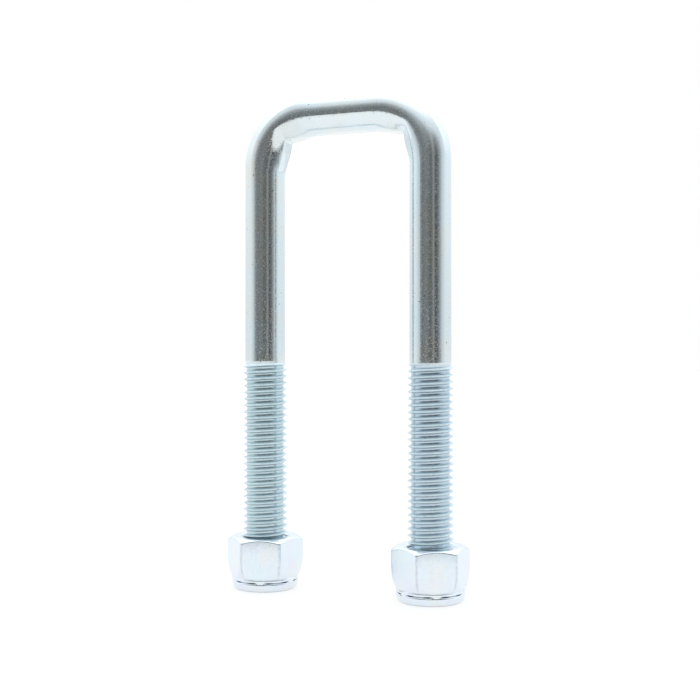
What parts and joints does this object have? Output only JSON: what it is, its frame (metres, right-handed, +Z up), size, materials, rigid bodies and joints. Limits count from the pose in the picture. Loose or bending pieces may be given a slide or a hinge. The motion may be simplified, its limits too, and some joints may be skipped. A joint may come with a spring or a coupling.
{
  "type": "u-bolt",
  "caption": "Square-bend U-bolt of round zinc-plated rod with rolled threads on both legs and a nylon-insert hexagon lock nut on each leg.",
  "frame": {"origin": "midway between the two leg axes, on the plane that both nuts stand on", "axes": "+Z up the legs towards the crossbar, +X along the crossbar from the left leg to the right leg, +Y to the back"},
  "size_m": [0.0659, 0.0208, 0.1317],
  "materials": {
    "zinc_rod": "bright clear zinc plating on drawn steel bar",
    "zinc_nut": "bright blue-passivated zinc plating on cold-formed steel",
    "nylon": "natural nylon, moulded"
  },
  "bodies": {
    "bolt": {"u_bolt_rod": "zinc_rod"},
    "left_insert": {"left_nylon_insert": "nylon"},
    "left_nut": {"left_nut_body": "zinc_nut"},
    "right_insert": {"right_nylon_insert": "nylon"},
    "right_nut": {"right_nut_body": "zinc_nut"}
  },
  "joints": [
    {"name": "left_nut_travel", "type": "slide", "parent": "bolt", "child": "left_insert", "axis": [0, 0, 1], "range_m": [-0.0115, 0.044]},
    {"name": "left_nut_spin", "type": "hinge", "parent": "left_insert", "child": "left_nut", "pos_m": [-0.02335, 0, 0.014], "axis": [0, 0, 1], "range_deg": [-2366, 9052]},
    {"name": "right_nut_travel", "type": "slide", "parent": "bolt", "child": "right_insert", "axis": [0, 0, 1], "range_m": [-0.0115, 0.044]},
    {"name": "right_nut_spin", "type": "hinge", "parent": "right_insert", "child": "right_nut", "pos_m": [0.02335, 0, 0.014], "axis": [0, 0, 1], "range_deg": [-2366, 9052]}
  ],
  "couplings": [
    {"joint": "left_nut_spin", "follows": "left_nut_travel", "rad_per_m": 3590.4},
    {"joint": "right_nut_spin", "follows": "right_nut_travel", "rad_per_m": 3590.4}
  ]
}
